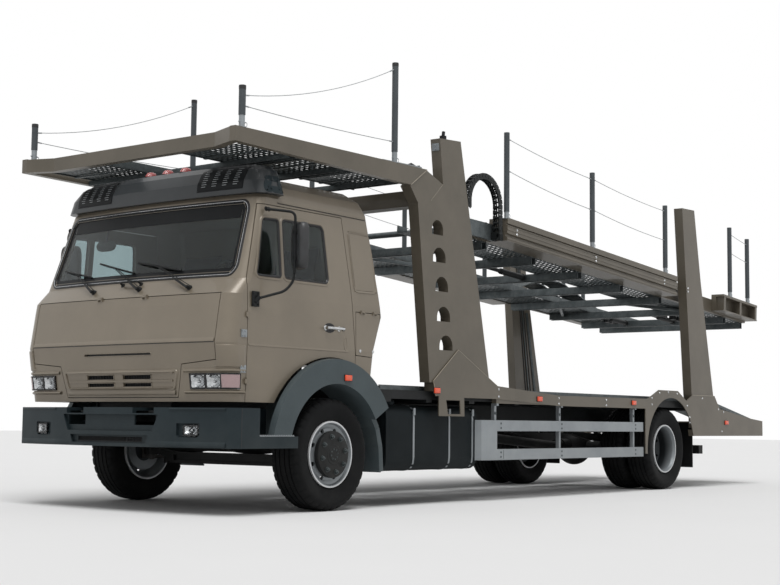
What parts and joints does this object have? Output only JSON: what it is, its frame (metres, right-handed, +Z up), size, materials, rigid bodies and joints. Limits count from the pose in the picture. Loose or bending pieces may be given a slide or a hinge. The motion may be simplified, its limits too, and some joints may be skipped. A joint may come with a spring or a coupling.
{
  "type": "car transporter truck",
  "caption": "Two-axle car transporter: forward-control cab with a deck over its roof, leaning posts and a tilting upper deck above a low platform.",
  "frame": {"origin": "on the ground, midway between the bumper's front and the tail's end, on the centre plane", "axes": "+X forward, +Y to the driver's left, +Z up"},
  "size_m": [9.5208, 2.889, 3.765],
  "materials": {
    "bronze_paint": "satin",
    "dark_plastic": "matt",
    "black_paint": "satin",
    "galvanised": "dull zinc",
    "tyre": "matt",
    "rim": "satin",
    "glass": "polished",
    "lamp": "polished",
    "red_lamp": "gloss",
    "iron": "cast",
    "cloth": "woven",
    "trim": "grained",
    "tank": "dull",
    "chain": "matt"
  },
  "bodies": {
    "chassis": {"chassis_frame": "black_paint", "engine_block": "iron", "driveline": "black_paint", "front_axle": "black_paint", "rear_axle": "black_paint", "leaf_springs": "black_paint", "cab_shell": "bronze_paint", "windscreen": "glass", "dashboard": "trim", "seats": "cloth", "sun_visor": "dark_plastic", "front_bumper": "dark_plastic", "headlamps": "lamp", "wheel_arches": "dark_plastic", "fuel_tank": "tank", "battery_box": "black_paint", "platform_frame": "black_paint", "platform_sides": "bronze_paint", "platform_runways": "galvanised", "front_posts": "bronze_paint", "rear_posts": "bronze_paint", "cab_deck_frame": "bronze_paint", "cab_deck_runways": "galvanised", "cab_deck_rails": "galvanised", "side_guards": "galvanised", "mud_flaps": "dark_plastic", "rear_lamps": "red_lamp"},
    "left_knuckle": {"knuckle_left": "iron"},
    "right_knuckle": {"knuckle_right": "iron"},
    "steering_track_rod": {"track_rod": "black_paint"},
    "left_front_wheel": {"front_tyre_left": "tyre", "front_rim_left": "rim"},
    "right_front_wheel": {"front_tyre_right": "tyre", "front_rim_right": "rim"},
    "left_rear_wheels": {"rear_tyres_left": "tyre", "rear_rims_left": "rim"},
    "right_rear_wheels": {"rear_tyres_right": "tyre", "rear_rims_right": "rim"},
    "left_door": {"door_left": "bronze_paint", "door_glass_left": "glass", "mirror_left": "dark_plastic"},
    "right_door": {"door_right": "bronze_paint", "door_glass_right": "glass", "mirror_right": "dark_plastic"},
    "front_panel": {"front_lid": "bronze_paint"},
    "left_locker_lid": {"locker_lid_left": "bronze_paint"},
    "right_locker_lid": {"locker_lid_right": "bronze_paint"},
    "lift": {"lift_carriage": "galvanised", "energy_chain": "chain"},
    "main_deck": {"deck_beams": "bronze_paint", "deck_runways": "galvanised", "deck_rails": "galvanised"}
  },
  "joints": [
    {"name": "steer_left", "type": "hinge", "parent": "chassis", "child": "left_knuckle", "pos_m": [3.46, 0.887, 0.4475], "axis": [0, 0, 1], "range_deg": [-35, 35]},
    {"name": "steer_right", "type": "hinge", "parent": "chassis", "child": "right_knuckle", "pos_m": [3.46, -0.887, 0.4475], "axis": [0, 0, 1], "range_deg": [-35, 35]},
    {"name": "track_rod_swing", "type": "hinge", "parent": "left_knuckle", "child": "steering_track_rod", "pos_m": [3.28, 0.887, 0.4475], "axis": [0, 0, 1], "range_deg": [-35, 35]},
    {"name": "front_left_spin", "type": "hinge", "parent": "left_knuckle", "child": "left_front_wheel", "pos_m": [3.46, 1.062, 0.4475], "axis": [0, 1, 0], "continuous": true},
    {"name": "front_right_spin", "type": "hinge", "parent": "right_knuckle", "child": "right_front_wheel", "pos_m": [3.46, -1.062, 0.4475], "axis": [0, 1, 0], "continuous": true},
    {"name": "rear_left_spin", "type": "hinge", "parent": "chassis", "child": "left_rear_wheels", "pos_m": [-2.297, 0.8855, 0.4475], "axis": [0, 1, 0], "continuous": true},
    {"name": "rear_right_spin", "type": "hinge", "parent": "chassis", "child": "right_rear_wheels", "pos_m": [-2.297, -0.8855, 0.4475], "axis": [0, 1, 0], "continuous": true},
    {"name": "left_door_swing", "type": "hinge", "parent": "chassis", "child": "left_door", "pos_m": [4.445, 1.185, 1.6], "axis": [0, 0, -1], "range_deg": [0, 75]},
    {"name": "right_door_swing", "type": "hinge", "parent": "chassis", "child": "right_door", "pos_m": [4.445, -1.185, 1.6], "axis": [0, 0, 1], "range_deg": [0, 75]},
    {"name": "front_panel_lift", "type": "hinge", "parent": "chassis", "child": "front_panel", "pos_m": [4.641, 0, 1.658], "axis": [0, -1, 0], "range_deg": [0, 80]},
    {"name": "left_locker_lift", "type": "hinge", "parent": "chassis", "child": "left_locker_lid", "pos_m": [3, 1.184, 1.603], "axis": [1, 0, 0], "range_deg": [0, 90]},
    {"name": "right_locker_lift", "type": "hinge", "parent": "chassis", "child": "right_locker_lid", "pos_m": [3, -1.184, 1.603], "axis": [-1, 0, 0], "range_deg": [0, 90]},
    {"name": "deck_lift", "type": "slide", "parent": "chassis", "child": "lift", "axis": [0.2172, 0, 0.9761], "range_m": [-0.1, 0.35]},
    {"name": "deck_tilt", "type": "hinge", "parent": "lift", "child": "main_deck", "pos_m": [1.46, 0, 2.5], "axis": [0, 1, 0], "range_deg": [-9, 4.5]}
  ],
  "couplings": [
    {"joint": "steer_right", "follows": "steer_left", "ratio": 1},
    {"joint": "track_rod_swing", "follows": "steer_left", "ratio": -1}
  ]
}
